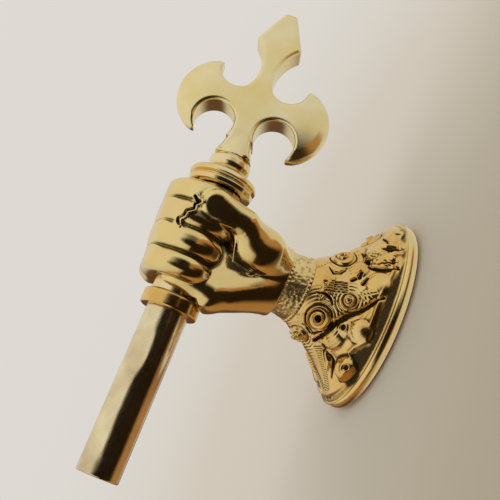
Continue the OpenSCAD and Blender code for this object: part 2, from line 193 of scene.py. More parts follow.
def turned(loop, cols):
    """Surface of a closed (station, radius) outline turned about the shaft axis."""
    angle = full_turn(cols)
    x = np.broadcast_to(loop[:, :1], (len(loop), cols))
    y = loop[:, 1:] * np.cos(angle)
    z = GRIP + loop[:, 1:] * np.sin(angle)
    return np.stack([x, y, z], -1)


# Solids as signed distances, negative inside


def smooth_step(low, high, value):
    """0 at low, 1 at high and an S curve between; low may be the larger."""
    t = np.clip((value - low) / (high - low), 0, 1)
    return t * t * (3 - 2 * t)


def join(a, b, k):
    """Union of two distances, with a fillet about k wide in the corner between them."""
    h = np.clip(0.5 + 0.5 * (b - a) / k, 0, 1)
    return b + (a - b) * h - k * h * (1 - h)


def cut(a, b, k):
    """What a keeps when b is taken away, with its new edge eased over about k."""
    return -join(-a, b, k)


def bar(p, start, end):
    """Distance to a round bar between two (x, y, z, radius) ends."""
    start = np.array(start, float)
    end = np.array(end, float)
    line = end[:3] - start[:3]
    to = [p[i] - start[i] for i in range(3)]
    t = np.clip(sum(to[i] * line[i] for i in range(3)) / (line @ line), 0, 1)
    away = np.sqrt(sum((to[i] - t * line[i]) ** 2 for i in range(3)))
    return away - start[3] - (end[3] - start[3]) * t


def egg(p, centre, radii):
    """Near distance to an ellipsoid."""
    q = [(p[i] - centre[i]) / radii[i] for i in range(3)]
    k0 = np.sqrt(sum(v * v for v in q))
    k1 = np.sqrt(sum((q[i] / radii[i]) ** 2 for i in range(3))) + 1e-9
    return k0 * (k0 - 1) / k1


def line_distance(x, y, points):
    """Distance in a plane to a line through the given points."""
    best = np.full(np.broadcast(x, y).shape, 1e3, np.float32)
    for (x0, y0), (x1, y1) in zip(points[:-1], points[1:]):
        dx = x1 - x0
        dy = y1 - y0
        t = np.clip(((x - x0) * dx + (y - y0) * dy) / (dx * dx + dy * dy), 0, 1)
        best = np.minimum(best, np.hypot(x - x0 - t * dx, y - y0 - t * dy))
    return best


def round_edge(a, b, radius):
    """Where a and b both are inside, with the edge between them rounded."""
    a = a + radius
    b = b + radius
    return np.minimum(np.maximum(a, b), 0) + np.hypot(np.maximum(a, 0), np.maximum(b, 0)) - radius


def skin(distance, low, high, step):
    """Closed quad mesh of the zero level of a distance on a grid of the given step.

    Each cell that the level crosses gets one vertex, the mean of the crossings on its edges, then
    two Newton steps put it on the level itself. A quad joins the four cells round a crossed edge.
    """
    axes = [np.arange(low[i], high[i] + step, step, dtype=np.float32) for i in range(3)]
    field = distance(np.meshgrid(*axes, indexing="ij", sparse=True)).astype(np.float32)
    inside = field < 0
    shape = np.array(field.shape) - 1

    def corner(values, offset):
        return values[tuple(slice(o, o + n) for o, n in zip(offset, shape))]

    offsets = [(i, j, k) for i in (0, 1) for j in (0, 1) for k in (0, 1)]
    filled = sum(corner(inside, o).astype(np.int8) for o in offsets)
    active = (filled > 0) & (filled < 8)
    cells = np.argwhere(active)
    value = {o: corner(field, o)[active] for o in offsets}
    total = np.zeros((len(cells), 3))
    count = np.zeros(len(cells))
    for a in offsets:
        for axis in range(3):
            if a[axis]:
                continue
            b = tuple(1 if i == axis else a[i] for i in range(3))
            crossed = (value[a] < 0) != (value[b] < 0)
            share = np.where(crossed, value[a] / np.where(crossed, value[a] - value[b], 1), 0)
            point = np.array(a, float) + share[:, None] * np.eye(3)[axis]
            total += point * crossed[:, None]
            count += crossed
    points = np.array([axis[0] for axis in axes]) + step * (cells + total / count[:, None])
    number = np.full(active.shape, -1)
    number[active] = np.arange(len(cells))
    faces = []
    for axis in range(3):
        one, two = (axis + 1) % 3, (axis + 2) % 3
        ahead = [slice(None)] * 3
        behind = [slice(None)] * 3
        ahead[axis] = slice(1, None)
        behind[axis] = slice(None, -1)
        for s in (one, two):
            ahead[s] = behind[s] = slice(1, -1)
        crossed = inside[tuple(behind)] != inside[tuple(ahead)]
        edge = np.argwhere(crossed)
        edge[:, one] += 1
        edge[:, two] += 1
        outward = inside[tuple(behind)][crossed]
        ring = []
        for da, db in ((0, 0), (1, 0), (1, 1), (0, 1)):
            cell = edge.copy()
            cell[:, one] -= da
            cell[:, two] -= db
            ring.append(number[tuple(cell.T)])
        ring = np.stack(ring, -1)
        faces.append(np.where(outward[:, None], ring, ring[:, ::-1]))
    for _ in range(2):
        points, normals = settle(distance, points, step / 4)
    return points, [np.concatenate(faces)], normals


def settle(distance, points, reach):
    """One Newton step of points onto the zero level, and the level's normals there."""
    p = points.T
    shifts = np.eye(3)[:, :, None] * reach
    slope = np.stack([distance(p + s) - distance(p - s) for s in shifts], -1) / (2 * reach)
    size = np.linalg.norm(slope, axis=1)[:, None] + 1e-9
    move = np.clip(distance(p)[:, None] / size, -reach, reach)
    return points - move * slope / size, slope / size


def recess(distance, points, normals, reach):
    """How deep each point lies in a hollow: 0 on open faces, 1 where the metal closes in. The material
    paints dirt and shade by it.
    """
    open_share = distance((points + normals * reach).T) / reach
    return np.clip(1 - open_share, 0, 1)


# Fist, measured along the shaft from its middle, from palm to back and up from the shaft axis

# Line of a finger from knuckle to tip, as (back, up)
FINGER_LINE = [(2.35, 2.3), (0.5, 2.76), (-1.3, 2.7), (-2.35, 2.1), (-2.85, 1.0), (-2.75, -0.1),
               (-2.25, -0.9)]
# Share of that line reached by each finger, from the index finger down
FINGER_REACH = [1.0, 0.985, 0.945, 0.875]
# Radius on the edges of a finger over the knuckles and at its front
KNUCKLE_EDGE = 0.27
FRONT_EDGE = 0.9
# Thumb from wrist to tip as (along, back, up, radius)
THUMB = [(0.1, -0.95, -6.9, 1.35), (1.05, -2.0, -4.6, 1.4), (1.9, -3.15, -2.3, 1.0),
         (2.1, -3.25, 0.2, 1.3)]
# Flat of the thumb: a point on it and the way it faces
THUMB_FLAT = (2.0, -4.12, 0.0)
THUMB_FACING = (-0.25, -0.96, 0.06)
# Web between thumb and index finger, heel of the hand and its slope to the palm, in the same form
WEB = [(2.6, -1.5, 1.2, 0.95), (2.45, -1.2, -2.3, 1.1)]
HEEL = [(-3.1, -1.0, 0.4, 1.4), (-3.5, -1.15, -2.1, 1.5), (-1.45, -0.75, -6.4, 1.5)]
SLOPE = [(-2.2, -0.75, -2.0, 1.4), (-1.3, -0.65, -6.2, 1.35)]
# Fold of skin along the palm, in the same form
FOLD = [(1.4, -3.35, -1.5, 0.08), (0.45, -3.1, -2.1, 0.1), (-0.9, -2.65, -2.6, 0.1),
        (-1.1, -2.35, -3.3, 0.08), (-1.05, -2.2, -4.3, 0.06)]
# Bone in the back of the hand: its knuckle as (back, up, radius), its foot in the wrist as (back, radius)
BONE_TOP = (2.15, 1.8, 1.05)
BONE_FOOT = (0.8, 1.3)
# Ball of the thumb and middle of the palm as centre and radii
BALL = ((0.75, -1.75, -3.9), (1.6, 1.65, 2.3))
PALM = ((0.0, 0.4, -2.4), (3.2, 2.3, 3.4))
# Split worn through the gold between the first two fingers, as (along, up) on their front
SPLIT = [(2.1, 1.95), (1.75, 1.5), (1.5, 1.75), (1.1, 1.7), (0.8, 2.1), (0.4, 2.15), (0.15, 2.4),
         (-0.25, 2.2)]
# Its half width and depth, then the height of its lip and how far that lies from its middle
SPLIT_HALF = 0.04
SPLIT_DEPTH = 0.4
LIP_HEIGHT = 0.16
LIP_AWAY = 0.15
# Depth of the gentle waves left by the punch
UNEVEN = 0.02


def smoothed(points, rounds):
    """The open line with its corners cut by quarters, again and again."""
    points = np.array(points, float)
    for _ in range(rounds):
        near = 0.75 * points[:-1] + 0.25 * points[1:]
        far = 0.25 * points[:-1] + 0.75 * points[1:]
        points = np.concatenate([points[:1], np.stack([near, far], 1).reshape(-1, 2), points[-1:]])
    return points


def read_line(points, half, step):
    """Distance to a smoothed line, worked out once over a square and then read between its samples."""
    axis = np.arange(-half, half + step, step)
    table = line_distance(axis[:, None], axis[None, :], smoothed(points, 5))

    def read(x, y):
        u, v = (np.clip((value + half) / step, 0, len(axis) - 1.01) for value in (x, y))
        i, j = u.astype(int), v.astype(int)
        u, v = u - i, v - j
        near = table[i, j] * (1 - u) + table[i + 1, j] * u
        far = table[i, j + 1] * (1 - u) + table[i + 1, j + 1] * u
        return near * (1 - v) + far * v

    return read


def chain(q, points, k):
    """Distance to bars that join the points one after another."""
    bars = [bar(q, start, end) for start, end in zip(points[:-1], points[1:])]
    whole = bars[0]
    for one in bars[1:]:
        whole = join(whole, one, k)
    return whole


def finger_distance(along, back, up, pitch, thick, finger_line):
    """Distance to four bent fingers side by side.

    A finger is a bent bar in the plane across the shaft, given a width along the shaft, with
    edges that are tight on the knuckle face and full at the front.
    """
    spread = (1.5 - np.arange(4)) * pitch
    front = smooth_step(-0.9, -2.5, back) * smooth_step(3.7, 2.3, up)
    taper = 0.1 * smooth_step(0.8, -1.2, up)
    shared = np.interp(along, spread[::-1], FINGER_REACH[::-1])
    fingers = None
    for i, own in enumerate(FINGER_REACH):
        reach = shared + (own - shared) * front
        edge = KNUCKLE_EDGE + (FRONT_EDGE - KNUCKLE_EDGE) * front
        wide = pitch / 2 + 0.03 + 0.1 * front
        if i in (0, 3):
            outer = smooth_step(0, pitch / 2, (along - spread[i]) * (1 if i == 0 else -1))
            edge = edge + 0.55 * outer * (1 - front)
            wide = wide - (0.1 * front + (0.12 if i == 0 else 0.0)) * outer
        bent = (finger_line(back / reach, up / reach) - thick) * reach
        one = round_edge(bent, abs(along - spread[i]) - wide + taper, edge)
        fingers = one if fingers is None else join(fingers, one, 0.06)
    return fingers


def palm_distance(q, pitch, arm):
    """Distance to the palm with the bones of the back, the wrist and the web of the thumb."""
    palm = egg(q, *PALM)
    for middle in (1.5 - np.arange(4)) * pitch:
        foot = (middle * 0.5, BONE_FOOT[0], HAND_FLOOR - GRIP, BONE_FOOT[1])
        palm = join(palm, bar(q, (middle, *BONE_TOP), foot), 0.8)
    palm = join(palm, arm, 1.0)
    palm = join(palm, chain(q, WEB, 0.3), 0.5)
    heel = join(join(chain(q, HEEL, 0.3), chain(q, SLOPE, 0.3), 0.7), arm, 0.5)
    return join(palm, heel, 1.1)


def thumb_distance(q, arm):
    """Distance to the thumb, flat on its pad, with its ball running into the wrist."""
    thumb = chain(q, THUMB, 0.45)
    flat = sum((q[i] - THUMB_FLAT[i]) * THUMB_FACING[i] for i in range(3))
    thumb = cut(thumb, -flat, 0.3)
    return join(join(thumb, egg(q, *BALL), 1.3), arm, 0.6)


def hand_distance(sizes):
    """Distance to the fist: fingers, palm and thumb joined with fillets, folded, split and uneven.

    The room of the collar and of the bush is cut from it last.
    """
    pitch = sizes.finger_pitch / MM
    thick = sizes.finger_thickness / MM / 2
    floor = HAND_FLOOR - GRIP
    wrist = BAND_TOP - BAND_PROUD
    finger_line = read_line(FINGER_LINE, 9.0, 0.02)

    def distance(p):
        along = p[0] - FIST_X
        back = p[1]
        up = p[2] - GRIP
        q = (along, back, up)
        arm = (np.hypot(along / wrist[0], back / wrist[1]) - 1) * min(wrist)
        arm = round_edge(arm, abs(up - floor) - 2.2, 0.8)
        fingers = finger_distance(along, back, up, pitch, thick, finger_line)
        hand = join(palm_distance(q, pitch, arm), fingers, 0.12 + 0.6 * smooth_step(0.8, 2.4, back))
        hand = join(hand, thumb_distance(q, arm), 0.16)
        hand = join(hand, chain(q, FOLD, 0.05), 0.2)
        torn = line_distance(along, up, SPLIT) + 4 * np.maximum(back + 2.2, 0)
        hand = hand - LIP_HEIGHT * np.exp(-((torn - LIP_AWAY) / 0.1) ** 2)
        hand = cut(hand, np.maximum(torn - SPLIT_HALF, -hand - SPLIT_DEPTH), 0.05)
        uneven = np.sin(1.7 * along + 0.6) * np.sin(2.1 * up - 0.4)
        uneven = uneven + np.sin(2.6 * back - 1.1 * along) * np.sin(1.3 * up)
        hand = hand + UNEVEN * uneven
        shaft = np.hypot(back, up)
        collar = np.maximum(shaft - COLLAR_R - 0.2, p[0] - COLLAR_HIGH[0] - 0.2)
        hand = np.maximum(cut(hand, collar, 0.1), floor - up)
        return np.maximum(hand, BUSH_R + SOLDER - shaft)

    return distance


def build_fist(sizes, material):
    """The fist as the skin of its distance, in place of both stamped halves."""
    distance = hand_distance(sizes)
    low = np.array([FIST_X - 5.6, -5.4, HAND_FLOOR - 0.3])
    high = np.array([FIST_X + 5.2, 4.0, GRIP + 4.4])
    points, faces, normals = skin(distance, low, high, sizes.grain / MM)
    deep = recess(distance, points, normals, 0.45)
    add_piece("fist", points, faces, material, "hand", ("hand_palm", "hand_back"), deep)


# Axe, in its own flat: across from the shaft axis, thick, and up from the foot

AXE_TURN = math.radians(-17)
# Round of a blade: how far it reaches, its radius, the height of its middle and half its height
BLADE_REACH = 6.25
BLADE_R = 3.55
BLADE_MID = 4.4
BLADE_HALF = 3.2
# Notches under and over each blade as across, up and radius
LOW_NOTCH = (2.5, 2.34, 1.62)
HIGH_NOTCH = (2.1, 7.15, 1.5)
# Half widths of neck and waist, and radius of the foot
NECK_HALF = 0.88
WAIST_HALF = 0.65
FOOT_R = 1.45
# Spear: where its waist is, half its width at the shoulders and at the tip, and height of its head
SPEAR_BASE = 7.6
SPEAR_HALF = 1.88
SPEAR_TIP = 0.48
SPEAR_HEAD = 2.9


def hollow(x0, y0, x1, y1):
    """Radius of the arc that leaves (x0, y0) upright and ends at (x1, y1)."""
    return ((x1 - x0) ** 2 + (y1 - y0) ** 2) / (2 * (x1 - x0))


def axe_outline(across, up):
    """Distance in the flat to the axe, two round blades with notches, a spear and a flared foot.

    The second result is the distance to the full round of the blades, for their thickness.
    """
    side = abs(across)
    blade = np.hypot(side - BLADE_REACH + BLADE_R, up - BLADE_MID) - BLADE_R
    outer = blade
    blade = cut(blade, BLADE_HALF - abs(up - BLADE_MID), 0.3)
    x, y, r = LOW_NOTCH
    low_notch = np.minimum(np.hypot(side - x, up - y) - r, np.maximum(up - y + r * 0.6, side - x))
    x, y, r = HIGH_NOTCH
    high_notch = np.minimum(np.hypot(side - x, up - y) - r, np.maximum(y - up + r * 0.2, side - x))
    blade = cut(cut(blade, low_notch, 0.3), high_notch, 0.3)
    shoulder = AXE_LEN - SPEAR_HEAD
    r = hollow(WAIST_HALF, SPEAR_BASE, SPEAR_HALF, shoulder)
    waist = r - np.hypot(side - WAIST_HALF - r, up - SPEAR_BASE)
    slope = np.array([SPEAR_HEAD, SPEAR_HALF - SPEAR_TIP])
    slope = slope / np.linalg.norm(slope)
    head = (side - SPEAR_HALF) * slope[0] + (up - shoulder) * slope[1]
    spear = cut(cut(waist, -head, 0.1), AXE_LEN - up, 0.2)
    spear = np.maximum(spear, SPEAR_BASE - 2 - up)
    r = hollow(NECK_HALF, LOW_NOTCH[1], FOOT_R, 0)
    foot = np.maximum(r - np.hypot(side - NECK_HALF - r, up - LOW_NOTCH[1]), side - FOOT_R)
    foot = np.maximum(foot, np.maximum(-up, up - LOW_NOTCH[1] - 1))
    return join(join(blade, spear, 0.12), foot, 0.1), outer


def axe_distance(sizes):
    """Distance to the axe: its outline made thick, falling off and bevelled towards the edges."""
    half = sizes.axe_thickness / MM / 2
    edge = sizes.axe_edge / MM / 2
    ease = sizes.axe_round / MM
    turn = np.cos(AXE_TURN), np.sin(AXE_TURN)

    def distance(p):
        left = GRIP - p[2]
        across = left * turn[0] + p[1] * turn[1]
        thick = p[1] * turn[0] - left * turn[1]
        up = p[0] - AXE_FOOT
        flat, outer = axe_outline(across, up)
        fall = np.clip(1 + outer / 2.8, 0, 1) * smooth_step(1.2, 3.2, abs(across))
        bevel = np.clip(1 + outer / 0.8, 0, 1) * smooth_step(2.2, 3.6, abs(across))
        swell = half - (half - edge) * (0.6 * fall ** 2 + 0.4 * bevel)
        body = round_edge(flat, abs(thick) - swell, ease)
        round_foot = np.hypot(across, thick) - FOOT_R + (FOOT_R - NECK_HALF) * np.clip(up / 2, 0, 1)
        round_foot = np.maximum(round_foot * 0.95, np.maximum(-up, up - 1.9))
        return np.maximum(join(body, round_foot, 0.2), -up)

    return distance


def build_axe(sizes, material):
    """The axe as the skin of its distance, in place of its two halves."""
    distance = axe_distance(sizes)
    low = np.array([AXE_FOOT - 0.2, -2.9, GRIP - 6.4])
    high = np.array([AXE_FOOT + AXE_LEN + 0.2, 2.9, GRIP + 6.4])
    points, faces, normals = skin(distance, low, high, sizes.grain / MM)
    deep = recess(distance, points, normals, 0.4)
    add_piece("axe", points, faces, material, "shaft", ("axe_front", "axe_back"), deep)


# Shaft

# Points round the pipe and round each ring
PIPE_COLS = 128
RING_COLS = 112
# Dents of the pipe as station from the mouth, angle up from the palm side, reach along and round, and
# share of the full depth
PIPE_DENTS = [(8.9, 38, 1.1, 22, 1.0), (10.2, 30, 0.7, 16, 0.35), (2.0, 52, 1.6, 24, 0.35),
              (0.9, 20, 0.8, 20, 0.4), (5.2, 58, 2.2, 18, 0.25), (6.5, 200, 1.6, 30, 0.4),
              (3.0, 150, 1.4, 26, 0.3)]


def build_pipe(sizes, material):
    """The case of the pipe: a turned tube with worn edges, pushed in by dents that fade as bell curves."""
    wall = CORE_R + SOLDER
    loop = rounded_loop([
        (PIPE_LOW[0], PIPE_R, 0.12), (PIPE_HIGH[0], PIPE_R, 0.03),
        (PIPE_HIGH[0], wall, 0.02), (PIPE_LOW[0], wall, 0.05)])
    surface = turned(refined(loop, 0.12), PIPE_COLS)
    radius = np.hypot(surface[..., 1], surface[..., 2] - GRIP)
    outer = smooth_step(wall + 0.1, PIPE_R - 0.08, radius)
    angle = np.degrees(np.arctan2(surface[..., 2] - GRIP, -surface[..., 1]))
    station = surface[..., 0] - PIPE_LOW[0]
    push = np.zeros_like(radius)
    for place, at, length, width, depth in PIPE_DENTS:
        swing = (angle - at + 180) % 360 - 180
        push += depth * np.exp(-((station - place) / length) ** 2 - (swing / width) ** 2)
    scale = 1 - outer * push * (sizes.dent / MM) / radius
    surface[..., 1] *= scale
    surface[..., 2] = GRIP + (surface[..., 2] - GRIP) * scale
    add_hoop("pipe", surface, material, "shaft", "pipe_case")


def build_collars(gold, deep_gold):
    """The turned rings: the lower collar, the flange with its bead and cove, and the bead ring."""
    bore = SPINDLE_R + SOLDER
    lower = [(COLLAR_LOW[0], bore, 0.02), (COLLAR_LOW[0], COLLAR_R, 0.16),
             (COLLAR_HIGH[0], COLLAR_R, 0.2), (COLLAR_HIGH[0], bore, 0.02)]
    r = FLANGE_R
    top = FERRULE_R
    x = FLANGE_LOW[0]
    h = FLANGE_HIGH[0] - x
    flange = [(x, bore, 0.02), (x, r * 0.93, 0.08), (x + h * 0.22, r * 0.97, 0.12),
              (x + h * 0.3, r * 0.88, 0.02), (x + h * 0.33, r * 0.88, 0.02), (x + h * 0.4, r, 0.14),
              (x + h * 0.62, r * 0.985, 0.22), (x + h * 0.74, r * 0.8, 0.12),
              (x + h * 0.86, top * 1.05, 0.1), (x + h, top * 0.93, 0.03), (x + h, bore, 0.02)]
    x = FERRULE_LOW[0]
    h = FERRULE_HIGH[0] - x
    bead = [(x, bore, 0.02), (x, top * 0.9, 0.03), (x + h * 0.3, top, 0.2), (x + h * 0.7, top, 0.22),
            (x + h, top * 0.86, 0.06), (x + h, bore, 0.02)]
    for name, node, loop, material in (("lower_ring", "lower_collar", lower, deep_gold),
                                       ("flange_ring", "upper_collar", flange, gold),
                                       ("bead_ring", "axe_ferrule", bead, gold)):
        surface = turned(refined(rounded_loop(loop), 0.1), RING_COLS)
        add_hoop(name, surface, material, "shaft", node)


# Wrist, cuff and seal

# Points round the wrist band, its wall, and its punch marks and beads
BAND_COLS = 420
BAND_WALL = 0.9
BAND_MARKS = 620
BAND_BEADS = 46
BEAD_DEPTH = 0.05
# Grid of the cuff round and down, its ends, its wall, and the step from the rim in to it
CUFF_COLS = 680
CUFF_ROWS = 136
CUFF_TOP = BAND_LOW[2] - SOLDER
CUFF_FOOT = BEZEL_HIGH[2] + SOLDER
CUFF_WALL = 0.55
RIM_STEP = 0.2
# Share of the way down at which the outer face of the cuff ends, just inside the rim
CUFF_END = 1.02
# Points round the seal
SEAL_COLS = 288


def oval_offset(a, b, angle, out):
    """Point of an oval with half axes a and b, moved out square to it."""
    nx = b * np.cos(angle)
    ny = a * np.sin(angle)
    size = np.hypot(nx, ny)
    return a * np.cos(angle) + nx / size * out, b * np.sin(angle) + ny / size * out


def oval_rows(half, rows, angle):
    """Surface of rings round an oval, each moved out square to it and up by its (out, up) row."""
    point = oval_offset(half[0], half[1], angle, rows[:, :1])
    return np.stack([*point, np.broadcast_to(rows[:, 1:], (len(rows), len(angle)))], -1)


def build_band(sizes, material):
    """The matted band: an oval sleeve that widens to its foot, with beaded edges and round punch marks."""
    middle = (BAND_LOW[2] + BAND_HIGH[2]) / 2
    half = (BAND_HIGH[2] - BAND_LOW[2]) / 2
    inside = half - BAND_LIP_H
    loop = refined(rounded_loop([
        (BAND_LIP, -half, 0.05), (BAND_LIP, -inside, 0.05), (0, 0.04 - inside, 0.02),
        (0, inside - 0.04, 0.02), (BAND_LIP, inside, 0.05), (BAND_LIP, half, 0.05),
        (-BAND_WALL, half, 0.05), (-BAND_WALL, -half, 0.05)]), 0.04)
    angle = full_turn(BAND_COLS)
    out = np.broadcast_to(loop[:, :1], (len(loop), BAND_COLS))
    z = np.broadcast_to(middle + loop[:, 1:], out.shape)
    rng = np.random.default_rng(7)
    marks = rng.uniform([0, -inside], [2 * np.pi, inside], (BAND_MARKS, 2))
    pit = np.zeros(out.shape)
    mean = BAND_FOOT.mean()
    for (at, height), share in zip(marks, rng.uniform(0.3, 1, len(marks)) ** 2):
        swing = (angle - at + np.pi) % (2 * np.pi) - np.pi
        away = np.hypot(swing * mean, z - middle - height)
        pit = np.maximum(pit, share * np.clip(1 - (away / (0.08 + 0.1 * share)) ** 2, 0, 1))
    face = smooth_step(-0.1, -0.02, out) * smooth_step(half, inside, abs(z - middle))
    beads = 0.5 + 0.5 * np.cos(BAND_BEADS * angle + 2 * np.sin(3 * angle))
    lip = smooth_step(0.02, BAND_LIP, out)
    depth = sizes.matting / MM * pit * face + BEAD_DEPTH * lip * beads
    widened = BAND_FLARE * (middle + half - z) / (2 * half)
    point = oval_offset(*BAND_TOP, angle, out - depth + widened)
    surface = np.stack([FIST_X + point[0], point[1], z], -1)
    # The punch marks go to the material as the recess mark, so they darken as dirt and painted shade
    add_hoop("matted_band", surface, material, "hand", "wrist_band", pit * face)


def flare(t):
    """Share of the flare reached a share t of the way down: straight at first, then opening out."""
    return (t + t ** 3) / 2


def cuff_point(angle, t, out):
    """Point of the cuff at an angle and a share t of the way down, moved out square to the flare."""
    rim = BEZEL_HALF - RIM_STEP
    grown = flare(t)
    lean = (rim[:2] - BAND_FOOT).mean() * (1 + 3 * t ** 2) / 2 / (CUFF_TOP - CUFF_FOOT)
    size = np.sqrt(1 + lean ** 2)
    half_axes = (BAND_FOOT[i] + (rim[i] - BAND_FOOT[i]) * grown for i in (0, 1))
    point = oval_offset(*half_axes, angle, out / size)
    z = CUFF_TOP + (CUFF_FOOT - CUFF_TOP) * t + out * lean / size
    return np.stack(np.broadcast_arrays(FIST_X * (1 - grown) + point[0], point[1], z), -1)


def on_cuff(places):
    """Points of the smooth cuff at (degrees, share of the way down) places."""
    places = np.array(places, float)
    return cuff_point(np.radians(places[:, 0]), places[:, 1], np.zeros(len(places)))


def to_line(points, places):
    """Distance from points to a line through places on the cuff, and how far along it that is."""
    knots = on_cuff(places)
    best = np.full(points.shape[:-1], 1e3)
    run = np.zeros(points.shape[:-1])
    passed = 0.0
    for start, end in zip(knots[:-1], knots[1:]):
        line = end - start
        size = np.linalg.norm(line)
        t = np.clip(((points - start) @ line) / size ** 2, 0, 1)
        away = np.linalg.norm(points - start - t[..., None] * line, axis=-1)
        run = np.where(away < best, passed + t * size, run)
        best = np.minimum(best, away)
        passed += size
    return best, run


# Chasing of one side, mirrored to the other. Places are (degrees round, share of the way down)
# Scrolls as place, radius of the eye, outer radius, gap between turns, share of a turn at the start
# and hand
SCROLLS = [((-33, 0.36), 0.46, 1.0, 0.5, 0.4, 1), ((-127, 0.28), 0.44, 1.0, 0.5, 0.1, -1),
           ((-94, 0.54), 0.16, 0.5, 0.26, 0.6, 1), ((0, 0.78), 0.3, 0.95, 0.4, 0.2, -1),
           ((-172, 0.22), 0.25, 0.7, 0.3, 0.3, 1)]
# Lobes and a ball end as place, radius and height in shares of the scroll height
LOBES = [((-134, 0.56), 0.95, 1.1), ((-120, 0.63), 0.7, 0.9), ((-114, 0.8), 0.95, 1.4),
         ((-143, 0.88), 1.0, 2.5), ((-58, 0.56), 0.8, 0.9), ((-76, 0.8), 1.0, 1.0),
         ((-20, 0.55), 0.7, 0.9)]
# Leaves as foot, tip, half width and height in shares of the scroll height
LEAVES = [((-46, 0.62), (-30, 1.02), 1.15, 1.6), ((-56, 0.68), (-55, 0.99), 0.75, 1.3),
          ((-104, 0.18), (-70, 0.28), 0.5, 0.8), ((-150, 0.55), (-163, 0.76), 0.5, 0.9),
          ((-88, 0.64), (-84, 0.86), 0.5, 0.9)]
# Grooves as line, half width and depth in shares of the groove depth
GROOVES = [
    ([(-158, 0.4), (-141, 0.44), (-124, 0.48), (-110, 0.56), (-98, 0.72), (-87, 0.89)], 0.24, 1.3),
    ([(-4, 0.57), (-41, 0.62), (-53, 0.65), (-57, 0.73), (-62, 0.95)], 0.14, 1.0),
    ([(-45, 0.82), (-49, 0.91), (-51, 0.98)], 0.24, 1.3),
    ([(-59, 0.67), (-64, 0.81), (-67, 0.96)], 0.2, 1.2),
    ([(-29, 0.83), (-41, 0.86)], 0.14, 0.9),
    ([(-150, 0.51), (-151, 0.72), (-163, 0.83)], 0.14, 1.0),
    ([(-97, 0.11), (-95, 0.21), (-98, 0.3), (-104, 0.36)], 0.1, 1.0),
    ([(-53, 0.18), (-63, 0.24), (-62, 0.33), (-56, 0.4)], 0.1, 1.1),
    ([(-133, 0.1), (-147, 0.19), (-151, 0.33), (-138, 0.4)], 0.1, 1.0)]
# Slots cut by a pointed punch, and round pits as place and radius
SLOTS = [[(-72, 0.49), (-70, 0.53)], [(-69, 0.57), (-64, 0.59)], [(-76, 0.63), (-71, 0.67)]]
PITS = [((-119, 0.61), 0.2), ((-32, 0.95), 0.3), ((-94, 0.54), 0.14), ((-139, 0.9), 0.2)]
# Engraved lines beside each other, from the first to the last, and how many
STRIPES = ([(-78, 0.15), (-76, 0.45)], [(-91, 0.2), (-86, 0.48)], 5)
# Hatched border: its line, half width and the gap between cuts
HATCH = ([(-158, 0.47), (-165, 0.63), (-173, 0.8), (-178, 0.95)], 0.42, 0.19)
# Lower border of the ornament
BORDER = [(-180, 0.97), (-160, 0.98), (-140, 1.0), (-136, 0.96), (-132, 0.84), (-126, 0.86),
          (-117, 0.94), (-106, 0.91), (-85, 0.9), (-71, 0.95), (-60, 0.99), (0, 0.99)]


def polar(points, place):
    """Distance of points from a place on the cuff, and their angle there from round to down."""
    angle = math.radians(place[0])
    here = cuff_point(angle, place[1], 0.0)
    across = cuff_point(angle + 0.01, place[1], 0.0) - here
    down = cuff_point(angle, place[1] + 0.01, 0.0) - here
    off = points - here
    turn = np.arctan2(off @ down / np.linalg.norm(down), off @ across / np.linalg.norm(across))
    return np.linalg.norm(off, axis=-1), turn


def scroll_height(points, place, eye, outer, gap, start, hand):
    """Relief of one scroll, a disc with a spiral groove, a ringed eye and its pit, and what it covers."""
    away, turn = polar(points, place)
    spiral = away / gap - hand * turn / (2 * np.pi) - start
    line = (spiral - np.round(spiral)) * gap
    cover = smooth_step(outer, outer - 0.14, away)
    height = 0.75 - 0.6 * np.exp(-(line / 0.06) ** 2) * smooth_step(eye, eye + 0.12, away)
    height += 0.6 * np.exp(-((away - 0.8 * eye) / (0.2 * eye)) ** 2)
    height -= 2.0 * np.exp(-(away / (0.4 * eye)) ** 4)
    return height, cover


def leaf_height(points, foot, tip, width):
    """Relief of one leaf: a pointed swelling with a groove down its middle and cuts slanting from it."""
    start, end = on_cuff([foot, tip])
    line = end - start
    size = np.linalg.norm(line)
    along = np.clip((points - start) @ line / size ** 2, 0, 1)
    across = np.linalg.norm(points - start - along[..., None] * line, axis=-1)
    half = width * np.sin(np.pi * np.clip(along, 0.02, 0.98) ** 0.8)
    body = np.sqrt(np.clip(1 - (across / np.maximum(half, 0.01)) ** 2, 0, 1))
    veins = 0.5 + 0.5 * np.cos(2 * np.pi * (along * size - 0.7 * across) / 0.34)
    return body * (1 - 0.45 * np.exp(-(across / 0.07) ** 2) - 0.22 * veins * smooth_step(0.1, 0.3, across))


def raised_work(points, t, border, far):
    """Height of the raised field with its lip, lobes, leaves and scrolls, in shares of the scroll height.

    Lobes stand no higher than the scrolls where far is true.
    """
    field = smooth_step(border + 0.025, border - 0.02, t)
    height = 0.5 * field + 0.5 * np.exp(-((t - border + 0.035) / 0.02) ** 2)
    for place, radius, share in LOBES:
        away = polar(points, place)[0] / radius
        round_top = np.clip(1 - away ** 2, 0, 1) ** 0.7 - 4 * np.clip(away - 1, 0, 9)
        lobe = 0.45 + np.where(far, np.minimum(share, 1), share) * round_top
        height = -join(-height, -lobe, 0.25)
    for foot, tip, width, share in LEAVES:
        height = np.maximum(height, 0.4 * field + share * leaf_height(points, foot, tip, width))
    ripple = np.zeros_like(height)
    for place, _, outer, *_ in SCROLLS:
        away = polar(points, place)[0]
        fade = np.exp(-np.clip(away - outer, 0, 9) / 0.7)
        ripple = np.maximum(ripple, fade * (0.5 + 0.5 * np.cos(away * 24)))
    height = height - 0.3 * ripple * field
    for one in SCROLLS:
        raised, cover = scroll_height(points, *one)
        height = height * (1 - cover) + (0.4 + raised) * cover
    return height


